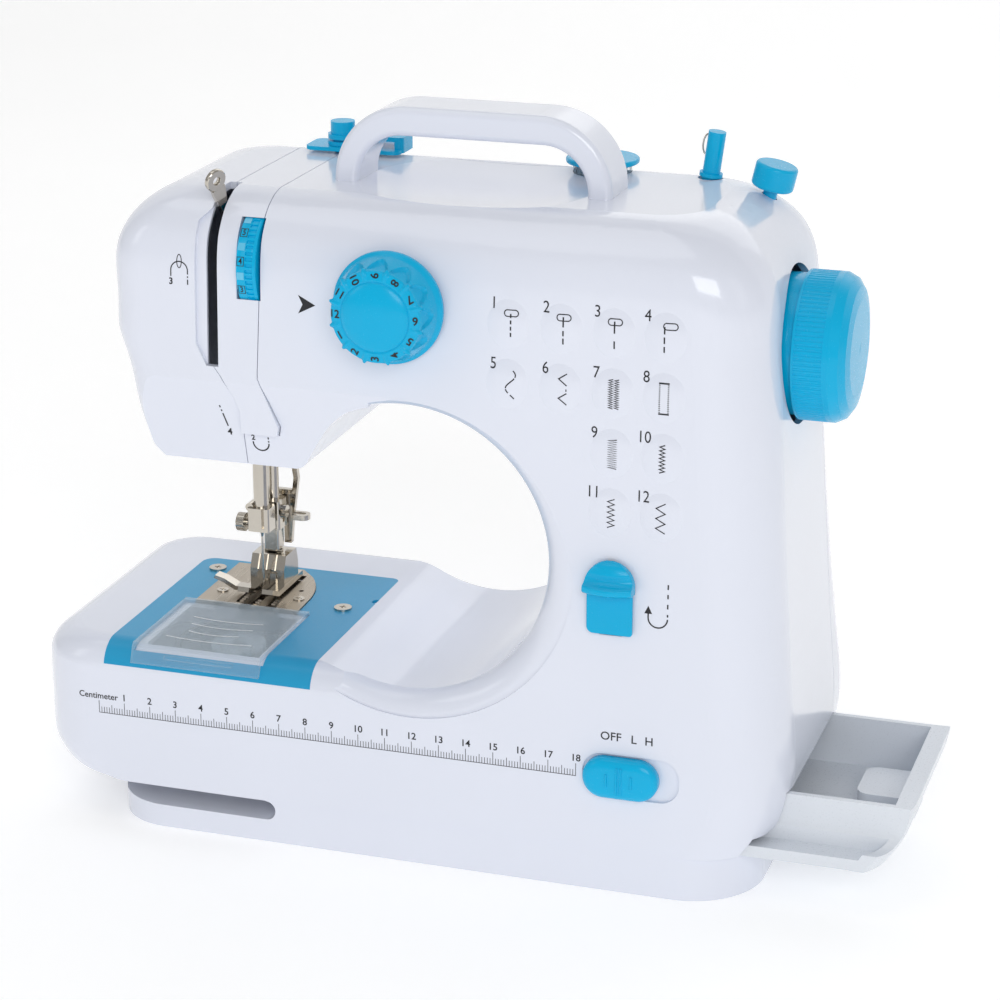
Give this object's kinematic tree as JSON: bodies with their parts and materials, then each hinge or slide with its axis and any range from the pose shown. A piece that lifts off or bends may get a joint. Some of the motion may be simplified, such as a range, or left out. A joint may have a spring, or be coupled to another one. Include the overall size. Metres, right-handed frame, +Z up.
{
  "type": "sewing machine",
  "caption": "Portable household sewing machine with free needle head, carrying handle, pattern dial, hand wheel, reverse lever, flat bed and a sliding accessory drawer in its base",
  "frame": {"origin": "middle of the base's footprint, on the surface that the machine stands on", "axes": "+X to the right, towards the hand wheel; +Y to the back; +Z up"},
  "size_m": [0.3211, 0.1385, 0.2625],
  "materials": {
    "body_plastic": "smooth gloss",
    "blue_plastic": "smooth gloss",
    "pale_plastic": "smooth gloss",
    "bed_blue": "satin paint",
    "steel": "fine brushed",
    "bright_metal": "polished plating",
    "frame_metal": "as cast",
    "dark_plastic": "matt moulded",
    "belt_rubber": "matt",
    "pad_rubber": "matt",
    "clear_plastic": "clear moulded",
    "brass_metal": "plain turned",
    "board": "coated board"
  },
  "bodies": {
    "casing": {"front_shell": "body_plastic", "rear_shell": "body_plastic", "head_cover": "body_plastic", "thread_strip": "body_plastic", "base_cover": "body_plastic", "rubber_pads": "pad_rubber", "carry_handle": "body_plastic", "bed_plate": "bed_blue", "bed_screws": "bright_metal", "needle_plate": "steel", "inner_frame": "frame_metal", "shaft_bushes": "brass_metal", "bed_frame": "frame_metal", "bar_guide": "frame_metal", "pivot_pins": "steel", "tension_discs": "bright_metal", "motor": "steel", "motor_belt": "belt_rubber", "timing_belt": "belt_rubber", "switch_board": "board", "work_lamp": "clear_plastic", "back_inlets": "dark_plastic", "thread_guide": "blue_plastic", "spool_ring": "clear_plastic", "presser_spring": "steel", "reverse_spring": "steel", "bobbin_case": "dark_plastic"},
    "hand_wheel": {"hand_wheel": "blue_plastic", "main_shaft": "steel", "drive_wheel": "dark_plastic", "upper_pulley": "steel", "crank_disc": "steel"},
    "connecting_rod": {"connecting_rod": "steel"},
    "motor_rotor": {"motor_pulley": "brass_metal"},
    "lower_shaft": {"lower_shaft": "steel", "lower_pulley": "steel", "drive_gear": "pale_plastic"},
    "rotary_hook": {"rotary_hook": "bright_metal"},
    "bobbin": {"bobbin": "clear_plastic"},
    "needle_bar": {"needle_bar": "bright_metal", "needle_clamp": "bright_metal", "needle_screw": "bright_metal", "needle": "bright_metal"},
    "take_up": {"take_up_lever": "bright_metal"},
    "presser_bar": {"presser_bar": "bright_metal", "foot_holder": "bright_metal"},
    "presser_foot": {"presser_foot": "bright_metal"},
    "presser_lifter": {"presser_lifter": "bright_metal"},
    "feed_dog": {"feed_dog": "steel"},
    "tension_wheel": {"tension_wheel": "blue_plastic"},
    "pattern_dial": {"pattern_dial": "blue_plastic", "pattern_cam": "dark_plastic"},
    "reverse_lever": {"reverse_lever": "blue_plastic"},
    "power_slider": {"power_slider": "blue_plastic"},
    "accessory_drawer": {"accessory_drawer": "pale_plastic"},
    "bobbin_cover": {"bobbin_cover": "clear_plastic"},
    "winder_spindle": {"winder_spindle": "blue_plastic"},
    "winder_stop": {"winder_stop": "blue_plastic"},
    "spool_pin": {"spool_pin": "blue_plastic"},
    "winding_tension_knob": {"winding_tension_knob": "blue_plastic"}
  },
  "joints": [
    {"name": "handwheel_spin", "type": "hinge", "parent": "casing", "child": "hand_wheel", "pos_m": [0.1, -0.006, 0.1875], "axis": [1, 0, 0], "continuous": true},
    {"name": "conrod_swing", "type": "hinge", "parent": "hand_wheel", "child": "connecting_rod", "pos_m": [-0.07, 0.00695, 0.18637], "axis": [1, 0, 0], "continuous": true},
    {"name": "motor_spin", "type": "hinge", "parent": "casing", "child": "motor_rotor", "pos_m": [0.0885, 0.021, 0.064], "axis": [1, 0, 0], "continuous": true},
    {"name": "lower_shaft_spin", "type": "hinge", "parent": "casing", "child": "lower_shaft", "pos_m": [0, -0.0248, 0.032], "axis": [1, 0, 0], "continuous": true},
    {"name": "hook_spin", "type": "hinge", "parent": "casing", "child": "rotary_hook", "pos_m": [-0.0775, -0.0248, 0.05], "axis": [0, 0, 1], "continuous": true},
    {"name": "bobbin_spin", "type": "hinge", "parent": "casing", "child": "bobbin", "pos_m": [-0.0775, -0.0248, 0.055], "axis": [0, 0, 1], "continuous": true},
    {"name": "needle_slide", "type": "slide", "parent": "casing", "child": "needle_bar", "axis": [0, 0, 1], "range_m": [-0.0118, 0.014]},
    {"name": "take_up_swing", "type": "hinge", "parent": "casing", "child": "take_up", "pos_m": [-0.0696, -0.03, 0.205], "axis": [1, 0, 0], "range_deg": [-18.5, 16]},
    {"name": "presser_slide", "type": "slide", "parent": "casing", "child": "presser_bar", "axis": [0, 0, 1], "range_m": [0, 0.0055], "deforming": ["presser_spring"]},
    {"name": "lifter_swing", "type": "hinge", "parent": "casing", "child": "presser_lifter", "pos_m": [-0.0726, 0.0173, 0.131], "axis": [0, -1, 0], "range_deg": [0, 60]},
    {"name": "foot_tilt", "type": "hinge", "parent": "presser_bar", "child": "presser_foot", "pos_m": [-0.0775, 0.0112, 0.0846], "axis": [1, 0, 0], "range_deg": [-3, 3]},
    {"name": "feed_slide", "type": "slide", "parent": "casing", "child": "feed_dog", "axis": [0, 1, 0], "range_m": [-0.0015, 0.0015]},
    {"name": "tension_turn", "type": "hinge", "parent": "casing", "child": "tension_wheel", "pos_m": [-0.0559, -0.0401, 0.211], "axis": [1, 0, 0], "range_deg": [-150, 150]},
    {"name": "pattern_turn", "type": "hinge", "parent": "casing", "child": "pattern_dial", "pos_m": [-0.0043, -0.06, 0.2033], "axis": [0, -1, 0], "continuous": true},
    {"name": "reverse_press", "type": "slide", "parent": "casing", "child": "reverse_lever", "axis": [0, 0, -1], "range_m": [0, 0.0105], "stiffness_N_per_m": 300, "deforming": ["reverse_spring"]},
    {"name": "power_slide", "type": "slide", "parent": "casing", "child": "power_slider", "axis": [1, 0, 0], "range_m": [0, 0.0063]},
    {"name": "drawer_slide", "type": "slide", "parent": "casing", "child": "accessory_drawer", "axis": [1, 0, 0], "range_m": [-0.043, 0.008]},
    {"name": "cover_slide", "type": "slide", "parent": "casing", "child": "bobbin_cover", "axis": [0, -1, 0], "range_m": [0, 0.03]},
    {"name": "winder_spin", "type": "hinge", "parent": "casing", "child": "winder_spindle", "pos_m": [0.0835, 0.025, 0.2295], "axis": [0.1305, 0, 0.9914], "continuous": true},
    {"name": "winder_stop_turn", "type": "hinge", "parent": "casing", "child": "winder_stop", "pos_m": [0.1059, 0.018, 0.2276], "axis": [0.225, 0, 0.9744], "range_deg": [-90, 90]},
    {"name": "spool_pin_lift", "type": "slide", "parent": "casing", "child": "spool_pin", "axis": [0, 0, 1], "range_m": [0, 0.012]},
    {"name": "winding_tension_turn", "type": "hinge", "parent": "casing", "child": "winding_tension_knob", "pos_m": [-0.0526, 0.0265, 0.24], "axis": [0, 0, 1], "range_deg": [-150, 150]}
  ],
  "couplings": [
    {"joint": "conrod_swing", "follows": "handwheel_spin", "ratio": -1},
    {"joint": "motor_spin", "follows": "handwheel_spin", "ratio": 4.2},
    {"joint": "lower_shaft_spin", "follows": "handwheel_spin", "ratio": 1},
    {"joint": "hook_spin", "follows": "handwheel_spin", "ratio": -2},
    {"joint": "take_up_swing", "follows": "needle_slide", "rad_per_m": -22.4},
    {"joint": "lifter_swing", "follows": "presser_slide", "rad_per_m": 188.81}
  ]
}
